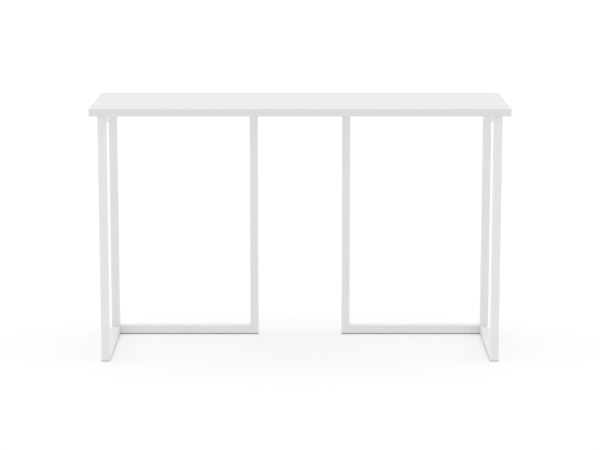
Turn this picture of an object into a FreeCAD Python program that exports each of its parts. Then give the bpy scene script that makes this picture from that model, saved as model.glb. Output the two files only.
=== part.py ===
import FreeCAD, Part
from enum import IntEnum, auto
import math
import os
import Sketcher

# A folding console table in millimetres: +X to the right, +Y towards the wall, +Z up.
# The origin lies on the floor under the middle of the top.
# A welded back frame of square tube carries two side frames that swing inwards on
# vertical pins, and a top that sits on four studs and lifts straight off.

os.makedirs("parts", exist_ok=True)
document = FreeCAD.newDocument("FoldingConsole")

# Driving dimensions
sizes = {
    # overall sizes
    "top_length": 1200,
    "top_depth": 400,
    "top_thickness": 22,
    "table_height": 740,
    "end_overhang": 23,
    "edge_overhang": 15,
    "back_length": 450,
    # edges of the top
    "edge_bevel": 1,
    # square tube
    "tube": 25,
    "tube_wall": 1.5,
    "tube_round": 2,
    # studs on the back frame and their sockets in the top
    "seat_height": 1,
    "seat_radius": 8,
    "stud_radius": 4,
    "stud_height": 12,
    "stud_lead": 1.5,
    "stud_inset": 60,
    "socket_play": 0.1,
    "socket_end_play": 1,
    "socket_wall": 2,
    # rubber pads on the side frames
    "pad_play": 0.3,
    "pad_width": 14,
    "pad_inset": 60,
    # glide strips under the foot rails
    "glide_height": 2,
    "glide_edge": 0.5,
    "glide_bevel": 0.5,
    "stem_width": 8,
    "stem_height": 8,
    "stem_inset": 13,
    # folding joint
    "hinge_gap": 0.3,
    "knuckle_reach": 16,
    "spigot_length": 20,
    "spigot_play": 0.1,
    "tongue_width": 18,
    "tongue_thickness": 6,
    "tongue_play": 0.3,
    "washer_thickness": 1,
    "washer_radius": 8,
    "pin_radius": 4,
    "pin_play": 0.05,
    "pin_recess": 0.5,
}
sheet = document.addObject("Spreadsheet::Sheet", "Sizes")
for row, (name, value) in enumerate(sizes.items(), start=1):
    sheet.set(f"A{row}", name)
    sheet.set(f"B{row}", str(value))
    sheet.setAlias(f"B{row}", name)
document.recompute()

# Positions that follow from the sheet
half_tube = "Sizes.tube / 2"
half_frame = "(Sizes.top_length / 2 - Sizes.end_overhang)"
front_face = "(Sizes.edge_overhang - Sizes.top_depth / 2)"
back_middle = f"(Sizes.top_depth / 2 - Sizes.edge_overhang - {half_tube})"
frame_bottom = "Sizes.glide_height"
frame_top = "(Sizes.table_height - Sizes.top_thickness - Sizes.seat_height)"
frame_height = f"({frame_top} - {frame_bottom})"
upper_rail = f"({frame_top} - {half_tube})"
lower_rail = f"({frame_bottom} + {half_tube})"
corner_middle = f"({half_frame} - {half_tube})"
inner_middle = f"({half_frame} - Sizes.back_length + {half_tube})"
hinge_middle = f"({back_middle} - Sizes.tube - Sizes.hinge_gap)"
knuckle_front = f"({hinge_middle} - Sizes.knuckle_reach)"
side_length = f"({knuckle_front} - {front_face})"

LEFT = FreeCAD.Vector(-1, 0, 0)
RIGHT = FreeCAD.Vector(1, 0, 0)
FRONT = FreeCAD.Vector(0, -1, 0)
BACK = FreeCAD.Vector(0, 1, 0)
DOWN = FreeCAD.Vector(0, 0, -1)
UP = FreeCAD.Vector(0, 0, 1)
signs = {"left": "-1", "right": "1"}
outward_of = {"left": LEFT, "right": RIGHT}
inward_of = {"left": RIGHT, "right": LEFT}

# Sketches and features shared by the pieces
TOLERANCE = 1e-3
nodes = []


class Spot(IntEnum):
    """The points of a line, arc or circle, in the order in which a sketch counts them."""
    START = auto()
    END = auto()
    CENTRE = auto()


def number(text):
    """Value of an expression written in the names of the sheet."""
    return float(sheet.evalExpression(text))


def new_body(label):
    """An empty body with its own label."""
    body = document.addObject("PartDesign::Body", label)
    body.Label = label
    return body


def new_sketch(body, name, plane):
    """A sketch on one of the body's own origin planes."""
    sketch = body.newObject("Sketcher::SketchObject", name)
    support = [feature for feature in body.Origin.OriginFeatures if feature.Role == plane]
    sketch.AttachmentSupport = [(support[0], "")]
    sketch.MapMode = "FlatFace"
    return sketch


def tie(sketch, kind, geometry, point, text):
    """Tie one coordinate of a sketch point, counted from the sketch's origin, to the sheet."""
    index = sketch.addConstraint(Sketcher.Constraint(kind, geometry, point, number(text)))
    sketch.setExpression(f"Constraints[{index}]", text)


def tie_point(sketch, geometry, point, across, up):
    """Tie both coordinates of a sketch point to the sheet."""
    tie(sketch, "DistanceX", geometry, point, across)
    tie(sketch, "DistanceY", geometry, point, up)


def add_outline(sketch, corners):
    """A closed straight-sided outline with each corner tied to the sheet."""
    points = [FreeCAD.Vector(number(across), number(up), 0) for across, up in corners]
    first = sketch.GeometryCount
    count = len(points)
    for index, point in enumerate(points):
        sketch.addGeometry(Part.LineSegment(point, points[(index + 1) % count]))
    for index, (across, up) in enumerate(corners):
        following = first + (index + 1) % count
        sketch.addConstraint(
            Sketcher.Constraint("Coincident", first + index, Spot.END, following, Spot.START)
        )
        tie_point(sketch, first + index, Spot.START, across, up)


def add_nosed_outline(sketch, corners, middle):
    """A closed outline whose last corner joins its first by an arc about the sketch's origin.

    The arc runs anticlockwise. The coordinate named by middle holds its centre at the origin.
    """
    points = [FreeCAD.Vector(number(across), number(up), 0) for across, up in corners]
    for point, following in zip(points, points[1:]):
        sketch.addGeometry(Part.LineSegment(point, following))
    circle = Part.Circle(FreeCAD.Vector(), UP, points[0].Length)
    first_angle, last_angle = (math.atan2(point.y, point.x) for point in (points[-1], points[0]))
    arc = sketch.addGeometry(Part.ArcOfCircle(circle, first_angle, last_angle))
    for index in range(arc):
        sketch.addConstraint(
            Sketcher.Constraint("Coincident", index, Spot.END, index + 1, Spot.START)
        )
        tie_point(sketch, index, Spot.START, *corners[index])
    sketch.addConstraint(Sketcher.Constraint("Coincident", arc, Spot.END, 0, Spot.START))
    tie_point(sketch, arc, Spot.START, *corners[-1])
    tie(sketch, middle, arc, Spot.CENTRE, "0")


def add_rectangle(sketch, low_across, high_across, low_up, high_up):
    """An upright rectangle between four expressions."""
    add_outline(sketch, [
        (low_across, low_up),
        (high_across, low_up),
        (high_across, high_up),
        (low_across, high_up),
    ])


def add_circle(sketch, across, up, radius):
    """A circle with its centre and radius tied to the sheet."""
    middle = FreeCAD.Vector(number(across), number(up), 0)
    geometry = sketch.addGeometry(Part.Circle(middle, UP, number(radius)))
    tie_point(sketch, geometry, Spot.CENTRE, across, up)
    index = sketch.addConstraint(Sketcher.Constraint("Radius", geometry, number(radius)))
    sketch.setExpression(f"Constraints[{index}]", radius)


def add_pad(body, sketch, length, side="Symmetric"):
    """Thicken a sketch, evenly about its plane unless told otherwise."""
    feature = body.newObject("PartDesign::Pad", sketch.Name + "_pad")
    feature.Profile = sketch
    feature.SideType = side
    feature.setExpression("Length", length)
    document.recompute()


def add_cut(body, sketch, side="Symmetric", length=None, upward=False):
    """Cut a sketch out of the body, through everything unless a length is given."""
    before = body.Shape.Volume
    feature = body.newObject("PartDesign::Pocket", sketch.Name + "_cut")
    feature.Profile = sketch
    feature.SideType = side
    feature.Reversed = upward
    if length is None:
        feature.Type = "ThroughAll"
    else:
        feature.setExpression("Length", length)
    document.recompute()
    if body.Shape.Volume >= before:
        raise RuntimeError(feature.Name + " removes nothing")


def ease_edges(body, kind, length_name, length, chosen):
    """Take the corner off every edge of the body so far that the test picks."""
    base = body.Tip
    names = [f"Edge{index}" for index, edge in enumerate(base.Shape.Edges, start=1) if chosen(edge)]
    feature = body.newObject(kind, base.Name + "_eased")
    feature.Base = (base, names)
    feature.setExpression(length_name, length)
    document.recompute()


def add_round(body, radius, chosen):
    """Round the edges that the test picks."""
    ease_edges(body, "PartDesign::Fillet", "Radius", radius, chosen)


def add_bevel(body, width, chosen):
    """Bevel the edges that the test picks."""
    ease_edges(body, "PartDesign::Chamfer", "Size", width, chosen)


def near(first, second):
    """Whether two lengths agree to within the tolerance."""
    return abs(first - second) < TOLERANCE


def runs_upright(edge):
    """Whether an edge runs along the local Z axis."""
    return near(edge.BoundBox.XLength, 0) and near(edge.BoundBox.YLength, 0)


def lies_lowest(edge):
    """Whether an edge lies in the local XY plane."""
    return near(edge.BoundBox.ZMin, 0) and near(edge.BoundBox.ZMax, 0)


def place(piece, position, along=UP, outward=LEFT):
    """Turn a piece so its Z runs along one direction and its -X faces outward, then tie its place."""
    across = outward * -1
    turn = FreeCAD.Rotation(across, along.cross(across), along, "ZXY")
    piece.Placement = FreeCAD.Placement(FreeCAD.Vector(), turn)
    for axis, text in zip("xyz", position):
        piece.setExpression(f"Placement.Base.{axis}", text)


def add_turned(label, corners):
    """A turned piece: a half outline spun about the upright axis."""
    body = new_body(label)
    sketch = new_sketch(body, label + "_outline", "XZ_Plane")
    add_outline(sketch, corners)
    feature = body.newObject("PartDesign::Revolution", label + "_turn")
    feature.Profile = sketch
    feature.ReferenceAxis = (sketch, ["V_Axis"])
    document.recompute()
    return body


def add_group(label, members):
    """Several identical pieces that share one node as separate solids."""
    group = document.addObject("Part::Compound", label)
    group.Label = label
    group.Links = members
    nodes.append(group)


# Square tube, cut to length with mitred or square ends
def add_tube(label, length, mitres):
    """One length of tube along local Z with its long side on local -X.

    A mitred end slopes across the whole width of the tube.
    """
    body = new_body(label)
    start_slope, end_slope = ("Sizes.tube" if mitred else "0" for mitred in mitres)
    side = new_sketch(body, label + "_side", "XZ_Plane")
    add_outline(side, [
        (f"-{half_tube}", "0"),
        (half_tube, start_slope),
        (half_tube, f"{length} - {end_slope}"),
        (f"-{half_tube}", length),
    ])
    add_pad(body, side, "Sizes.tube")
    add_round(body, "Sizes.tube_round", runs_upright)
    bore = new_sketch(body, label + "_bore", "XY_Plane")
    half_bore = f"({half_tube} - Sizes.tube_wall)"
    add_rectangle(bore, f"-{half_bore}", half_bore, f"-{half_bore}", half_bore)
    add_cut(body, bore)
    nodes.append(body)
    return body


half_stem = "(Sizes.stem_width / 2)"


def pierce(tube, places):
    """Cut square holes for the stems of a glide through the wall on the long side of a tube."""
    holes = new_sketch(tube, tube.Label + "_holes", "YZ_Plane")
    for along in places:
        add_rectangle(holes, f"-{half_stem}", half_stem, f"{along} - {half_stem}", f"{along} + {half_stem}")
    add_cut(tube, holes, side="One side")


BOTH = (True, True)
START_ONLY = (True, False)

# Back frame: one long rail on two corner posts and two inner posts, with a foot rail at each end
rear_rail = add_tube("rear_top_rail", f"2 * {half_frame}", BOTH)
place(rear_rail, (f"-{half_frame}", back_middle, upper_rail), along=RIGHT, outward=UP)

back_stems = ["Sizes.stem_inset", "Sizes.back_length - Sizes.stem_inset"]
foot_starts = {"left": f"-{half_frame}", "right": f"({half_frame} - Sizes.back_length)"}
for side, sign in signs.items():
    corner_post = add_tube(f"{side}_corner_post", frame_height, BOTH)
    place(corner_post, (f"{sign} * {corner_middle}", back_middle, frame_bottom), outward=outward_of[side])
    inner_post = add_tube(f"{side}_inner_post", f"({frame_height} - Sizes.tube)", START_ONLY)
    place(inner_post, (f"{sign} * {inner_middle}", back_middle, frame_bottom), outward=inward_of[side])
    foot_rail = add_tube(f"{side}_back_foot_rail", "Sizes.back_length", BOTH)
    pierce(foot_rail, back_stems)
    place(foot_rail, (foot_starts[side], back_middle, lower_rail), along=RIGHT, outward=DOWN)

# Side frames: a front post between two rails that reach back to the folding joints
side_stems = ["Sizes.stem_inset", f"{side_length} - Sizes.spigot_length - Sizes.stem_inset"]
for side, sign in signs.items():
    across = f"{sign} * {corner_middle}"
    front_post = add_tube(f"{side}_front_post", frame_height, BOTH)
    place(front_post, (across, f"{front_face} + {half_tube}", frame_bottom), outward=FRONT)
    top_rail = add_tube(f"{side}_side_top_rail", side_length, START_ONLY)
    place(top_rail, (across, front_face, upper_rail), along=BACK, outward=UP)
    bottom_rail = add_tube(f"{side}_side_foot_rail", side_length, START_ONLY)
    pierce(bottom_rail, side_stems)
    place(bottom_rail, (across, front_face, lower_rail), along=BACK, outward=DOWN)

# Folding joint: a tongue on the corner post, held by a pin between the cheeks of a slotted knuckle
half_tongue = "(Sizes.tongue_width / 2)"
slot_edge = f"({half_tongue} + Sizes.tongue_play)"
slot_height = "(Sizes.tongue_thickness + 2 * Sizes.washer_thickness)"
tongue_root = f"({half_tube} + Sizes.hinge_gap)"
bearing_radius = "(Sizes.pin_radius + Sizes.pin_play)"


def add_tongue(label):
    """A flat lug with a round nose about the pin, welded to the post by its straight end."""
    body = new_body(label)
    plate = new_sketch(body, label + "_plate", "XY_Plane")
    add_nosed_outline(plate, [
        (half_tongue, "0"),
        (half_tongue, tongue_root),
        (f"-{half_tongue}", tongue_root),
        (f"-{half_tongue}", "0"),
    ], "DistanceY")
    add_pad(body, plate, "Sizes.tongue_thickness")
    hole = new_sketch(body, label + "_hole", "XY_Plane")
    add_circle(hole, "0", "0", "Sizes.pin_radius")
    add_cut(body, hole)
    nodes.append(body)
    return body


def runs_along_tube(edge):
    """Whether an edge of a knuckle carries on one of the four rounded edges of its tube."""
    box = edge.BoundBox
    half_width = number(half_tube)
    level_and_straight = near(box.XLength, 0) and near(box.ZLength, 0)
    return level_and_straight and near(abs(box.XMin), half_width) and near(abs(box.ZMin), half_width)


def add_knuckle(label):
    """The end block of a side rail: square outside, quarter round inside, slotted for the tongue.

    The slot is open to the back and to the inner side, the two ways the tongue points.
    The square outer corner is the stop that ends the opening swing.
    """
    body = new_body(label)
    block = new_sketch(body, label + "_block", "XY_Plane")
    add_rectangle(block, f"-{half_tube}", half_tube, "-Sizes.knuckle_reach", half_tube)
    add_pad(body, block, "Sizes.tube")
    half_spigot = f"({half_tube} - Sizes.tube_wall - Sizes.spigot_play)"
    spigot_end = "-(Sizes.knuckle_reach + Sizes.spigot_length)"
    spigot = new_sketch(body, label + "_spigot", "XY_Plane")
    add_rectangle(spigot, f"-{half_spigot}", half_spigot, spigot_end, "-Sizes.knuckle_reach")
    add_pad(body, spigot, f"2 * {half_spigot}")
    add_round(body, "Sizes.tube_round", runs_along_tube)
    corner = new_sketch(body, label + "_corner", "XY_Plane")
    add_nosed_outline(corner, [
        (f"-{half_tube}", "0"),
        ("-Sizes.tube", "0"),
        ("-Sizes.tube", "Sizes.tube"),
        ("0", "Sizes.tube"),
        ("0", half_tube),
    ], "DistanceX")
    add_cut(body, corner)
    slot = new_sketch(body, label + "_slot", "XY_Plane")
    add_rectangle(slot, "-Sizes.tube", slot_edge, f"-{slot_edge}", "Sizes.tube")
    add_cut(body, slot, length=slot_height)
    hole = new_sketch(body, label + "_hole", "XY_Plane")
    add_circle(hole, "0", "0", bearing_radius)
    add_cut(body, hole)
    nodes.append(body)
    return body


def add_pin(label):
    """A plain pin whose two ends lie just inside the faces of the knuckle."""
    pin_end = f"({half_tube} - Sizes.pin_recess)"
    return add_turned(label, [
        ("0", f"-{pin_end}"),
        ("Sizes.pin_radius", f"-{pin_end}"),
        ("Sizes.pin_radius", pin_end),
        ("0", pin_end),
    ])


def add_washer(label):
    """A flat washer, loose on the pin: it lies on the tongue and carries the upper cheek."""
    return add_turned(label, [
        (bearing_radius, "-Sizes.washer_thickness / 2"),
        ("Sizes.washer_radius", "-Sizes.washer_thickness / 2"),
        ("Sizes.washer_radius", "Sizes.washer_thickness / 2"),
        (bearing_radius, "Sizes.washer_thickness / 2"),
    ])


washer_offset = "(Sizes.tongue_thickness + Sizes.washer_thickness) / 2"
for side, sign in signs.items():
    across = f"{sign} * {corner_middle}"
    half_turn = DOWN if side == "left" else UP
    pins = []
    washers = []
    for level, height in (("upper", upper_rail), ("lower", lower_rail)):
        middle = (across, hinge_middle, height)
        place(add_tongue(f"{side}_{level}_tongue"), middle)
        place(add_knuckle(f"{side}_{level}_knuckle"), middle, half_turn, inward_of[side])
        pin = add_pin(f"{side}_{level}_pin")
        place(pin, middle)
        pins.append(pin)
        washer = add_washer(f"{side}_{level}_washer")
        place(washer, (across, hinge_middle, f"{height} + {washer_offset}"))
        washers.append(washer)
    add_group(f"{side}_hinge_pins", pins)
    add_group(f"{side}_hinge_washers", washers)

# Studs on the back frame: a welded flange that the top rests on and a lead at the tip
stud_places = [
    f"-({half_frame} - Sizes.stud_inset)",
    f"-({half_frame} - Sizes.back_length + Sizes.stud_inset)",
    f"({half_frame} - Sizes.back_length + Sizes.stud_inset)",
    f"({half_frame} - Sizes.stud_inset)",
]
studs = []
stud_tip = "(Sizes.seat_height + Sizes.stud_height)"
for stud_place in stud_places:
    stud = add_turned("stud", [
        ("0", "0"),
        ("Sizes.seat_radius", "0"),
        ("Sizes.seat_radius", "Sizes.seat_height"),
        ("Sizes.stud_radius", "Sizes.seat_height"),
        ("Sizes.stud_radius", f"{stud_tip} - Sizes.stud_lead"),
        ("Sizes.stud_radius - Sizes.stud_lead", stud_tip),
        ("0", stud_tip),
    ])
    place(stud, (stud_place, back_middle, frame_top))
    studs.append(stud)
add_group("locating_studs", studs)

# Rubber pads on the side rails, just clear of the top so that the frames swing freely
half_pad = "(Sizes.pad_width / 2)"
pad_thickness = "(Sizes.seat_height - Sizes.pad_play)"
pad_places = [f"{front_face} + Sizes.pad_inset", f"{knuckle_front} - Sizes.pad_inset"]
for side, sign in signs.items():
    pads = []
    for pad_place in pad_places:
        pad = new_body(f"{side}_pad")
        square = new_sketch(pad, f"{side}_pad_square", "XY_Plane")
        add_rectangle(square, f"-{half_pad}", half_pad, f"-{half_pad}", half_pad)
        add_pad(pad, square, pad_thickness, side="One side")
        place(pad, (f"{sign} * {corner_middle}", pad_place, frame_top))
        pads.append(pad)
    add_group(f"{side}_support_pads", pads)

# Floor glides: a low strip under each foot rail, with square stems pressed into the rail
half_glide = f"({half_tube} - Sizes.glide_edge)"
stem_top = "(Sizes.glide_height + Sizes.stem_height)"


def add_glide(label, length, stems):
    """One strip that stands on the local XY plane and runs along X, with a bevel round its foot."""
    glide = new_body(label)
    strip = new_sketch(glide, label + "_strip", "XY_Plane")
    add_rectangle(strip, "Sizes.glide_edge", f"{length} - Sizes.glide_edge", f"-{half_glide}", half_glide)
    add_pad(glide, strip, "Sizes.glide_height", side="One side")
    add_bevel(glide, "Sizes.glide_bevel", lies_lowest)
    squares = new_sketch(glide, label + "_stems", "XY_Plane")
    for along in stems:
        add_rectangle(squares, f"{along} - {half_stem}", f"{along} + {half_stem}", f"-{half_stem}", half_stem)
    add_pad(glide, squares, stem_top, side="One side")
    return glide


side_glide_length = f"({hinge_middle} - 2 * Sizes.pin_radius - {front_face})"
back_glides = []
for side, sign in signs.items():
    back_glide = add_glide(f"{side}_back_glide", "Sizes.back_length", back_stems)
    place(back_glide, (foot_starts[side], back_middle, "0"))
    back_glides.append(back_glide)
    side_glide = add_glide(f"{side}_side_glide", side_glide_length, side_stems)
    place(side_glide, (f"{sign} * {corner_middle}", front_face, "0"), outward=FRONT)
    add_group(f"{side}_side_glides", [side_glide])
add_group("back_glides", back_glides)

# Top: one lacquered board with four blind holes underneath, each lined by a socket
socket_radius = "(Sizes.stud_radius + Sizes.socket_play)"
hole_radius = f"({socket_radius} + Sizes.socket_wall)"
socket_room = "(Sizes.stud_height + Sizes.socket_end_play)"
hole_depth = f"({socket_room} + Sizes.socket_wall)"
underside = "(Sizes.table_height - Sizes.top_thickness)"

table_top = new_body("table_top")
board = new_sketch(table_top, "board", "XY_Plane")
add_rectangle(board, "-Sizes.top_length / 2", "Sizes.top_length / 2",
              "-Sizes.top_depth / 2", "Sizes.top_depth / 2")
add_pad(table_top, board, "Sizes.top_thickness", side="One side")
add_bevel(table_top, "Sizes.edge_bevel", lambda edge: True)
socket_holes = new_sketch(table_top, "socket_holes", "XY_Plane")
for stud_place in stud_places:
    add_circle(socket_holes, stud_place, back_middle, hole_radius)
add_cut(table_top, socket_holes, side="One side", length=hole_depth, upward=True)
place(table_top, ("0", "0", underside))
nodes.append(table_top)

sockets = []
for stud_place in stud_places:
    socket = add_turned("socket", [
        (socket_radius, "0"),
        (hole_radius, "0"),
        (hole_radius, hole_depth),
        ("0", hole_depth),
        ("0", socket_room),
        (socket_radius, socket_room),
    ])
    place(socket, (stud_place, back_middle, underside))
    sockets.append(socket)
add_group("stud_sockets", sockets)

# Check every object, then write one file for each node
document.recompute()
for item in document.Objects:
    if "Invalid" in item.State or "Error" in item.State:
        raise RuntimeError(item.Label + " did not recompute")
for node in nodes:
    if node.Shape.isNull() or not node.Shape.isValid() or not node.Shape.Solids:
        raise RuntimeError(node.Label + " has no valid solid")
    node.Shape.exportStep(f"parts/{node.Label}.step")
print(len(nodes), "nodes written")
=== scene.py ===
import math

import bmesh
import bpy
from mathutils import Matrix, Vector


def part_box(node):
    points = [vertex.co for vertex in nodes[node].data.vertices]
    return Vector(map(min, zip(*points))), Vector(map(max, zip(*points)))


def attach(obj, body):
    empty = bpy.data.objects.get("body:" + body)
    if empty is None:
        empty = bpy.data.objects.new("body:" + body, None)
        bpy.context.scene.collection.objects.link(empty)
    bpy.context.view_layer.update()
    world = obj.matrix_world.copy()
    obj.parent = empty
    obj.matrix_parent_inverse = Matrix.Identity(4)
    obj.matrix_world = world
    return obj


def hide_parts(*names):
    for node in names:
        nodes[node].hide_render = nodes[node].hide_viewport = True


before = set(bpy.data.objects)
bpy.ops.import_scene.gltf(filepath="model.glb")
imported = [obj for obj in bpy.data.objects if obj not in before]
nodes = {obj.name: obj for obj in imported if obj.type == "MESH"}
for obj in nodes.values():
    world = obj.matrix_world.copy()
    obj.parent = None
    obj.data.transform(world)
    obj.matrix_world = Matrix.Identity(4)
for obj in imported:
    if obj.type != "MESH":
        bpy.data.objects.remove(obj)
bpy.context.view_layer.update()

# Back frame
# Square steel tube, mitred at the outer corners and butted at the inner posts, welded and
# ground flush, then powder coated white as one piece. The coat has a fine orange peel.
sides = ("left", "right")
back_tubes = ["rear_top_rail"]
for side in sides:
    back_tubes += [f"{side}_corner_post", f"{side}_inner_post", f"{side}_back_foot_rail"]


def add_node(tree, kind, inputs=None, **settings):
    """A node with its settings, its sockets either given a value or linked to another socket."""
    node = tree.nodes.new(kind)
    for name, value in settings.items():
        setattr(node, name, value)
    for name, value in (inputs or {}).items():
        if isinstance(value, bpy.types.NodeSocket):
            tree.links.new(value, node.inputs[name])
        else:
            node.inputs[name].default_value = value
    return node


def new_group(name, inputs, outputs):
    """An empty shader group with a vector and some numbers going in and masks coming out."""
    group = bpy.data.node_groups.new(name, "ShaderNodeTree")
    group.interface.new_socket("Vector", in_out="INPUT", socket_type="NodeSocketVector")
    for label in inputs:
        group.interface.new_socket(label, in_out="INPUT", socket_type="NodeSocketFloat")
    for label in outputs:
        group.interface.new_socket(label, in_out="OUTPUT", socket_type="NodeSocketFloat")
    return group


def spread(tree, value, given, wanted):
    """Stretch a mask so that the span it is given covers the span that is wanted."""
    node = add_node(tree, "ShaderNodeMapRange", {
        "Value": value,
        "From Min": given[0],
        "From Max": given[1],
        "To Min": wanted[0],
        "To Max": wanted[1],
    })
    return node.outputs["Result"]


def arithmetic(tree, operation, *values):
    """One step of arithmetic on masks and plain numbers."""
    node = add_node(tree, "ShaderNodeMath", dict(enumerate(values)), operation=operation)
    return node.outputs["Value"]


# The surface that a spray gun leaves: a fine peel, slow clouds in the film and a few raised nibs.
# A small share of the cells have a nib, whose crown and foot are measured in widths of a cell.
nib_share = 0.1
nib_crown = 0.02
nib_foot = 0.07
sprayed_coat = new_group("sprayed_coat", ["Peel Scale", "Cloud Scale", "Nib Scale"], ["Height", "Cloud"])
coat_in = sprayed_coat.nodes.new("NodeGroupInput").outputs
coat_peel = add_node(sprayed_coat, "ShaderNodeTexNoise", {
    "Vector": coat_in["Vector"],
    "Scale": coat_in["Peel Scale"],
    "Detail": 2.0,
    "Roughness": 0.4,
})
coat_cloud = add_node(sprayed_coat, "ShaderNodeTexNoise", {
    "Vector": coat_in["Vector"],
    "Scale": coat_in["Cloud Scale"],
    "Detail": 4.0,
    "Roughness": 0.55,
})
coat_cells = add_node(sprayed_coat, "ShaderNodeTexVoronoi", {
    "Vector": coat_in["Vector"],
    "Scale": coat_in["Nib Scale"],
})
cell_draw = add_node(sprayed_coat, "ShaderNodeSeparateColor", {"Color": coat_cells.outputs["Color"]})
nib_chosen = arithmetic(sprayed_coat, "GREATER_THAN", cell_draw.outputs["Red"], 1.0 - nib_share)
nib_bump = spread(sprayed_coat, coat_cells.outputs["Distance"], (nib_crown, nib_foot), (1.0, 0.0))
nib = arithmetic(sprayed_coat, "MULTIPLY", nib_chosen, nib_bump)
add_node(sprayed_coat, "NodeGroupOutput", {
    "Height": arithmetic(sprayed_coat, "ADD", coat_peel.outputs["Fac"], nib),
    "Cloud": coat_cloud.outputs["Fac"],
})


def new_material(name, **constants):
    """A material with a plain Principled BSDF whose constant sockets are set directly."""
    material = bpy.data.materials.new(name)
    material.use_nodes = True
    shader = material.node_tree.nodes["Principled BSDF"]
    for label, value in constants.items():
        shader.inputs[label.replace("_", " ")].default_value = value
    return material, material.node_tree, shader


def place_group(tree, group, **values):
    """One use of a shader group on the piece's own coordinates."""
    where = add_node(tree, "ShaderNodeTexCoord").outputs["Object"]
    node = add_node(tree, "ShaderNodeGroup", node_tree=group)
    tree.links.new(where, node.inputs["Vector"])
    for label, value in values.items():
        node.inputs[label.replace("_", " ")].default_value = value
    return node.outputs


def shade(tree, value, given, dark, light):
    """A colour that runs from dark to light over the given span of a mask."""
    ramp = add_node(tree, "ShaderNodeValToRGB", {"Fac": value})
    for element, position, colour in zip(ramp.color_ramp.elements, given, (dark, light)):
        element.position = position
        element.color = (*colour, 1.0)
    return ramp.outputs["Color"]


def dress(tree, shader, colour, roughness, height, depth):
    """Feed a shader its colour, roughness and a bump of the given real depth in metres."""
    bump = add_node(tree, "ShaderNodeBump", {"Height": height, "Distance": depth})
    tree.links.new(colour, shader.inputs["Base Color"])
    tree.links.new(roughness, shader.inputs["Roughness"])
    tree.links.new(bump.outputs["Normal"], shader.inputs["Normal"])


def coat_nodes(names, material):
    """Put a material in the slots of CAD nodes."""
    for name in names:
        for slot in nodes[name].material_slots:
            slot.material = material


# Nearly all values of a noise texture lie within this span.
noise_span = (0.3, 0.7)
paint_thin = (0.86, 0.86, 0.857)
paint_thick = (0.88, 0.88, 0.878)
paint_roughness_span = (0.32, 0.4)
paint_peel_depth = 6e-6
frame_paint, tree, shader = new_material("frame_paint", IOR=1.5)
coat = place_group(tree, sprayed_coat, Peel_Scale=420.0, Cloud_Scale=7.0, Nib_Scale=60.0)
paint_white = shade(tree, coat["Cloud"], noise_span, paint_thin, paint_thick)
paint_roughness = spread(tree, coat["Cloud"], noise_span, paint_roughness_span)
dress(tree, shader, paint_white, paint_roughness, coat["Height"], paint_peel_depth)
coat_nodes(back_tubes, frame_paint)

# Welds of the back frame
# A short fillet bead lies across the tube in each inner corner, where a grinder can't reach.
# The bead is a row of overlapping puddles, painted over with the tube.
bead_leg = 0.0026
bead_pitch = 0.0017
bead_puddles = 12
bead_length = bead_pitch * (bead_puddles - 1)
bead_voxel = 0.00024
cut_tolerance = 1e-6
puddle_squash = 0.55
puddle_sides = 24
puddle_rings = 12
soft_angle = math.radians(50)


def name_piece(name):
    """Name the piece that was just made, and its mesh."""
    piece = bpy.context.active_object
    piece.name = name
    piece.data.name = name
    return piece


def apply_modifier(piece, kind, **settings):
    """Add a modifier to the active piece and apply it at once."""
    modifier = piece.modifiers.new(kind.lower(), kind)
    for name, value in settings.items():
        setattr(modifier, name, value)
    bpy.ops.object.modifier_apply(modifier=modifier.name)


def model_bead():
    """One bead along Y that fills the corner between the planes x = 0 and z = 0."""
    bpy.ops.object.select_all(action="DESELECT")
    bpy.ops.mesh.primitive_uv_sphere_add(segments=puddle_sides, ring_count=puddle_rings, radius=bead_leg)
    bead = name_piece("weld_bead")
    bpy.ops.object.mode_set(mode="EDIT")
    bpy.ops.mesh.select_all(action="SELECT")
    bpy.ops.transform.resize(value=(1.0, puddle_squash, 1.0), center_override=(0.0, 0.0, 0.0))
    bpy.ops.transform.translate(value=(0.0, -bead_length / 2, 0.0))
    bpy.ops.object.mode_set(mode="OBJECT")
    apply_modifier(
        bead, "ARRAY", count=bead_puddles, use_relative_offset=False, use_constant_offset=True,
        constant_offset_displace=(0.0, bead_pitch, 0.0),
    )
    apply_modifier(bead, "REMESH", mode="VOXEL", voxel_size=bead_voxel)
    apply_modifier(bead, "SMOOTH", factor=0.5, iterations=2)
    bpy.ops.object.mode_set(mode="EDIT")
    for outward in ((1.0, 0.0, 0.0), (0.0, 0.0, 1.0)):
        bpy.ops.mesh.select_all(action="SELECT")
        bpy.ops.mesh.bisect(
            plane_co=(0.0, 0.0, 0.0), plane_no=outward, use_fill=True, clear_inner=True,
            threshold=cut_tolerance,
        )
    bpy.ops.object.mode_set(mode="OBJECT")
    bpy.ops.object.shade_smooth_by_angle(angle=soft_angle)
    return bead


def lay_copies(name, model, places, body, material):
    """Copies of a model, each moved and turned to its place, joined into one piece on a body."""
    bpy.ops.object.select_all(action="DESELECT")
    for place, turn in places:
        copy = model.copy()
        copy.data = model.data.copy()
        bpy.context.collection.objects.link(copy)
        copy.location = place
        copy.rotation_euler = turn
        copy.select_set(True)
        bpy.context.view_layer.objects.active = copy
    bpy.ops.object.join()
    bpy.ops.object.transform_apply(location=True, rotation=True, scale=True)
    piece = name_piece(name)
    piece.data.materials.append(material)
    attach(piece, body)
    return piece


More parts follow.
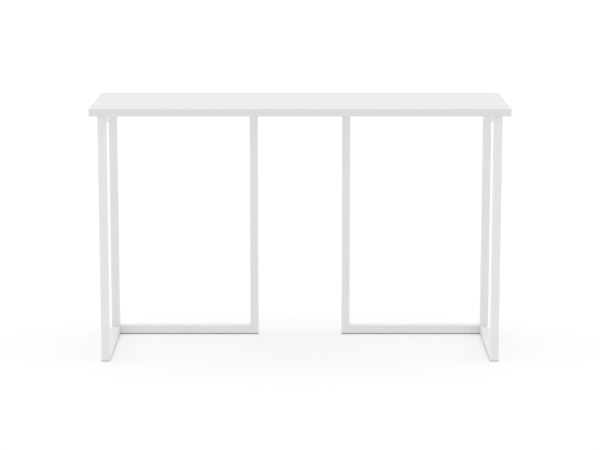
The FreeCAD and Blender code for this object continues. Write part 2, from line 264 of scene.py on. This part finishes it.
# Turns of a bead about Y, named for the way that the corner it fills is open.
open_right_up = 0.0
open_right_down = math.radians(90)
open_left_down = math.radians(180)
open_left_up = math.radians(270)
rail_low, rail_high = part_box("rear_top_rail")
foot_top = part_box("left_back_foot_rail")[1].z
rail_under = rail_low.z
back_middle = (rail_low.y + rail_high.y) / 2
back_corners = []
for side in sides:
    corner_low, corner_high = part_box(f"{side}_corner_post")
    inner_low, inner_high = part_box(f"{side}_inner_post")
    left_face, right_face = (corner_high.x, inner_low.x) if side == "left" else (inner_high.x, corner_low.x)
    middle_face = inner_high.x if side == "left" else inner_low.x
    middle_turn = open_right_down if side == "left" else open_left_down
    back_corners += [
        ((left_face, back_middle, foot_top), (0.0, open_right_up, 0.0)),
        ((right_face, back_middle, foot_top), (0.0, open_left_up, 0.0)),
        ((left_face, back_middle, rail_under), (0.0, open_right_down, 0.0)),
        ((right_face, back_middle, rail_under), (0.0, open_left_down, 0.0)),
        ((middle_face, back_middle, rail_under), (0.0, middle_turn, 0.0)),
    ]
bead = model_bead()
lay_copies("back_frame_welds", bead, back_corners, "back_frame", frame_paint)

# Folding joints
# A steel tongue on each corner post, a slotted knuckle on the end of each side rail, both painted
# with their frames, and a zinc plated pin through them. A nylon washer takes the wear.
joint_blocks = []
for side in sides:
    for level in ("upper", "lower"):
        joint_blocks += [f"{side}_{level}_tongue", f"{side}_{level}_knuckle"]
coat_nodes(joint_blocks, frame_paint)

zinc_blue = (0.56, 0.57, 0.6)
zinc_bright = (0.66, 0.66, 0.65)
zinc_bloom_span = (0.35, 0.65)
zinc_roughness_span = (0.24, 0.38)
turning_span = (0.0, 1.0)
turning_depth = 6e-6
zinc, tree, shader = new_material("zinc_plate", Metallic=1.0)
where = add_node(tree, "ShaderNodeTexCoord").outputs["Object"]
turning = add_node(tree, "ShaderNodeTexWave", {
    "Vector": where,
    "Scale": 1300.0,
    "Distortion": 1.5,
    "Detail": 2.0,
    "Detail Scale": 0.4,
}, wave_type="BANDS", bands_direction="Z")
bloom = add_node(tree, "ShaderNodeTexNoise", {"Vector": where, "Scale": 240.0, "Detail": 3.0})
zinc_grey = shade(tree, bloom.outputs["Fac"], zinc_bloom_span, zinc_blue, zinc_bright)
zinc_roughness = spread(tree, turning.outputs["Fac"], turning_span, zinc_roughness_span)
dress(tree, shader, zinc_grey, zinc_roughness, turning.outputs["Fac"], turning_depth)
coat_nodes(["left_hinge_pins", "right_hinge_pins", "locating_studs"], zinc)

# The skin of a moulded piece: fine spark-eroded grain with soft flow clouds in it.
moulded_skin = new_group("moulded_skin", ["Grain Scale", "Flow Scale"], ["Height", "Flow"])
skin_in = moulded_skin.nodes.new("NodeGroupInput").outputs
skin_grain = add_node(moulded_skin, "ShaderNodeTexVoronoi", {
    "Vector": skin_in["Vector"],
    "Scale": skin_in["Grain Scale"],
}, feature="SMOOTH_F1")
skin_flow = add_node(moulded_skin, "ShaderNodeTexNoise", {
    "Vector": skin_in["Vector"],
    "Scale": skin_in["Flow Scale"],
    "Detail": 3.0,
    "Distortion": 0.6,
})
add_node(moulded_skin, "NodeGroupOutput", {
    "Height": skin_grain.outputs["Distance"],
    "Flow": skin_flow.outputs["Fac"],
})

nylon_amber = (0.79, 0.78, 0.73)
nylon_pale = (0.85, 0.84, 0.8)
nylon_roughness_span = (0.38, 0.5)
nylon_grain_depth = 8e-6
nylon, tree, shader = new_material(
    "natural_nylon", IOR=1.53, Subsurface_Weight=0.15, Subsurface_Scale=0.002
)
skin = place_group(tree, moulded_skin, Grain_Scale=3000.0, Flow_Scale=150.0)
nylon_cream = shade(tree, skin["Flow"], noise_span, nylon_amber, nylon_pale)
nylon_roughness = spread(tree, skin["Flow"], noise_span, nylon_roughness_span)
dress(tree, shader, nylon_cream, nylon_roughness, skin["Height"], nylon_grain_depth)
coat_nodes(["left_hinge_washers", "right_hinge_washers", "stud_sockets"], nylon)

# Side frames
# A front post mitred to two rails of the same square tube, welded and powder coated with the back.
# The inner corner of each mitre carries a bead like those of the back frame.
quarter_turn = math.radians(90)
for side in sides:
    coat_nodes([f"{side}_front_post", f"{side}_side_top_rail", f"{side}_side_foot_rail"], frame_paint)
    post_low, post_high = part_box(f"{side}_front_post")
    post_middle = (post_low.x + post_high.x) / 2
    side_corners = [
        ((post_middle, post_high.y, foot_top), (0.0, open_right_up, quarter_turn)),
        ((post_middle, post_high.y, rail_under), (0.0, open_right_down, quarter_turn)),
    ]
    lay_copies(f"{side}_side_welds", bead, side_corners, f"{side}_side_frame", frame_paint)
bpy.data.objects.remove(bead)

# Support pads
# Small squares of grey rubber stuck to the side rails, which keep the loose top from rattling.
# They are moulded with rounded corners, a soft upper edge and a shallow dish inside the rim.
pad_corner = 0.0028
pad_soft_edge = 0.00025
pad_rim = 0.0018
pad_dish = 0.00025
pad_corner_steps = 6
pad_edge_steps = 3
level_angle = math.radians(5)


def choose(piece, kind, test):
    """In edit mode, select only the edges or faces that pass a test."""
    bpy.ops.mesh.select_all(action="DESELECT")
    shape = bmesh.from_edit_mesh(piece.data)
    for element in getattr(shape, kind):
        if test(element):
            element.select_set(True)
    bmesh.update_edit_mesh(piece.data)


def stands_upright(edge):
    """Whether an edge runs straight up."""
    first, second = (vertex.co for vertex in edge.verts)
    return (first.xy - second.xy).length < abs(first.z - second.z)


def faces_up(face):
    """Whether a face looks straight up."""
    return face.normal.z > math.cos(level_angle)


def model_pad(width, thickness):
    """One pad on the plane z = 0, about the origin."""
    bpy.ops.object.select_all(action="DESELECT")
    bpy.ops.mesh.primitive_cube_add(size=width)
    pad = name_piece("pad")
    bpy.ops.object.mode_set(mode="EDIT")
    bpy.ops.mesh.select_all(action="SELECT")
    bpy.ops.transform.resize(value=(1.0, 1.0, thickness / width), center_override=(0.0, 0.0, 0.0))
    bpy.ops.transform.translate(value=(0.0, 0.0, thickness / 2))
    choose(pad, "edges", stands_upright)
    bpy.ops.mesh.bevel(offset=pad_corner, segments=pad_corner_steps, affect="EDGES")
    choose(pad, "faces", faces_up)
    bpy.ops.mesh.bevel(offset=pad_soft_edge, segments=pad_edge_steps, affect="EDGES")
    choose(pad, "faces", faces_up)
    bpy.ops.mesh.inset(thickness=pad_rim)
    bpy.ops.mesh.inset(thickness=2 * pad_dish)
    bpy.ops.transform.translate(value=(0.0, 0.0, -pad_dish))
    bpy.ops.object.mode_set(mode="OBJECT")
    bpy.ops.object.shade_smooth_by_angle(angle=soft_angle)
    return pad


rubber_dark = (0.54, 0.54, 0.52)
rubber_pale = (0.66, 0.66, 0.64)
rubber_roughness_span = (0.7, 0.85)
rubber_grain_depth = 1.5e-5
rubber, tree, shader = new_material("pad_rubber", Specular_IOR_Level=0.3)
skin = place_group(tree, moulded_skin, Grain_Scale=2200.0, Flow_Scale=90.0)
rubber_grey = shade(tree, skin["Flow"], noise_span, rubber_dark, rubber_pale)
rubber_roughness = spread(tree, skin["Flow"], noise_span, rubber_roughness_span)
dress(tree, shader, rubber_grey, rubber_roughness, skin["Height"], rubber_grain_depth)
for side in sides:
    pads_low, pads_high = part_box(f"{side}_support_pads")
    pad_width = pads_high.x - pads_low.x
    pad = model_pad(pad_width, pads_high.z - pads_low.z)
    pad_middle = (pads_low.x + pads_high.x) / 2
    pad_places = [
        ((pad_middle, pads_low.y + pad_width / 2, pads_low.z), (0.0, 0.0, 0.0)),
        ((pad_middle, pads_high.y - pad_width / 2, pads_low.z), (0.0, 0.0, 0.0)),
    ]
    pads = lay_copies(f"{side}_rubber_pads", pad, pad_places, f"{side}_side_frame", rubber)
    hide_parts(f"{side}_support_pads")
    bpy.data.objects.remove(pad)

# Floor glides
# A moulded strip of dark grey nylon under each foot rail, held by stems pressed into the tube. Its dark
# grey is partly painted shade, standing in for the contact shadow under the rails.
# The sides keep the grain of the mould, and the sole is rubbed smoother and paler by the floor.
# Painted shade: the strips' dark grey is partly their own colour and partly a stand-in for the contact
# shadow along the foot of the rails.
glide_dark_and_contact_shade = (0.19, 0.19, 0.19)
glide_rubbed = (0.3, 0.3, 0.3)
glide_tone_span = (0.3, 1.0)
glide_roughness_span = (0.6, 0.35)
glide_grain_depth = 1.2e-5
rubbed_height = 0.0003
rubbed_strength = 0.5
glide_plastic, tree, shader = new_material("glide_plastic", IOR=1.53)
skin = place_group(tree, moulded_skin, Grain_Scale=2600.0, Flow_Scale=120.0)
where = add_node(tree, "ShaderNodeTexCoord").outputs["Object"]
height_up = add_node(tree, "ShaderNodeSeparateXYZ", {"Vector": where}).outputs["Z"]
rubbed = spread(tree, height_up, (0.0, rubbed_height), (rubbed_strength, 0.0))
glide_tone = arithmetic(tree, "ADD", skin["Flow"], rubbed)
glide_grey_and_contact_shade = shade(tree, glide_tone, glide_tone_span, glide_dark_and_contact_shade, glide_rubbed)
glide_roughness = spread(tree, glide_tone, glide_tone_span, glide_roughness_span)
dress(tree, shader, glide_grey_and_contact_shade, glide_roughness, skin["Height"], glide_grain_depth)
coat_nodes(["back_glides", "left_side_glides", "right_side_glides"], glide_plastic)

# Top
# One fibreboard panel, sprayed white all over and rubbed to a satin, with its edges eased.
# It sits loose on the studs, and its nylon sockets are flush with the underside.
lacquer_thin = (0.785, 0.785, 0.783)
lacquer_thick = (0.8, 0.8, 0.798)
lacquer_roughness_span = (0.36, 0.44)
lacquer_peel_depth = 6e-6
top_lacquer, tree, shader = new_material("top_lacquer", IOR=1.48)
coat = place_group(tree, sprayed_coat, Peel_Scale=190.0, Cloud_Scale=4.0, Nib_Scale=24.0)
lacquer_white = shade(tree, coat["Cloud"], noise_span, lacquer_thin, lacquer_thick)
lacquer_roughness = spread(tree, coat["Cloud"], noise_span, lacquer_roughness_span)
dress(tree, shader, lacquer_white, lacquer_roughness, coat["Height"], lacquer_peel_depth)
coat_nodes(["table_top"], top_lacquer)

# Floor and light
# A wide pale floor and a white surround, with a broad soft lamp overhead and one at each side.
# The camera sees floor and surround as white, and the floor keeps the soft shadow.
floor_size = 80.0
bpy.ops.object.select_all(action="DESELECT")
bpy.ops.mesh.primitive_plane_add(size=floor_size, location=(0.0, 0.0, 0.0))
floor = name_piece("floor")


def seen_directly(tree):
    """One for rays that show the surroundings as they look, none for rays that only light the table."""
    path = add_node(tree, "ShaderNodeLightPath").outputs
    mirrored = arithmetic(tree, "MAXIMUM", path["Is Glossy Ray"], path["Is Transmission Ray"])
    return arithmetic(tree, "MAXIMUM", path["Is Camera Ray"], mirrored)


floor_white = (0.93, 0.93, 0.93, 1.0)
floor_lift = 0.1
pale_floor = bpy.data.materials.new("pale_floor")
pale_floor.use_nodes = True
tree = pale_floor.node_tree
tree.nodes.remove(tree.nodes["Principled BSDF"])
matt = add_node(tree, "ShaderNodeBsdfDiffuse", {"Color": floor_white})
lift = add_node(tree, "ShaderNodeEmission", {
    "Strength": arithmetic(tree, "MULTIPLY", seen_directly(tree), floor_lift),
})
both = add_node(tree, "ShaderNodeAddShader", {0: matt.outputs["BSDF"], 1: lift.outputs["Emission"]})
tree.links.new(both.outputs["Shader"], tree.nodes["Material Output"].inputs["Surface"])
floor.data.materials.append(pale_floor)

horizon_light = 0.87
zenith_light = 0.5
surround = bpy.data.worlds.new("white_surround")
bpy.context.scene.world = surround
surround.use_nodes = True
tree = surround.node_tree
background = tree.nodes["Background"]
background.inputs["Color"].default_value = (1.0, 1.0, 1.0, 1.0)
ray_way = add_node(tree, "ShaderNodeTexCoord").outputs["Generated"]
ray_height = add_node(tree, "ShaderNodeSeparateXYZ", {"Vector": ray_way}).outputs["Z"]
surround_light = spread(tree, ray_height, (0.0, 1.0), (horizon_light, zenith_light))
strength = arithmetic(tree, "MAXIMUM", surround_light, seen_directly(tree))
tree.links.new(strength, background.inputs["Strength"])


def hang_lamp(name, tilt, width, power):
    """A soft lamp, far away, leaning from straight overhead. Its lean and its width are in degrees."""
    bpy.ops.object.light_add(type="SUN", rotation=(0.0, math.radians(tilt), 0.0))
    lamp = bpy.context.active_object
    lamp.name = name
    lamp.data.angle = math.radians(width)
    lamp.data.energy = power


hang_lamp("overhead_lamp", tilt=0, width=80, power=0.86)
hang_lamp("left_lamp", tilt=-70, width=40, power=0.5)
hang_lamp("right_lamp", tilt=70, width=40, power=0.5)

# Camera
# Six metres in front of the table and twice as high, looking down on it a little through a long lens.
camera_sensor_mm = 36.0
camera_lens_mm = 124.2
camera_distance = 6.03
camera_height = 1.465
camera_tilt_degrees = 10.3
camera_data = bpy.data.cameras.new("camera")
camera_data.sensor_width = camera_sensor_mm
camera_data.lens = camera_lens_mm
camera = bpy.data.objects.new("camera", camera_data)
bpy.context.collection.objects.link(camera)
camera.location = (0.0, -camera_distance, camera_height)
camera.rotation_euler = (quarter_turn - math.radians(camera_tilt_degrees), 0.0, 0.0)
bpy.context.scene.camera = camera
bpy.context.scene.view_settings.view_transform = "Standard"
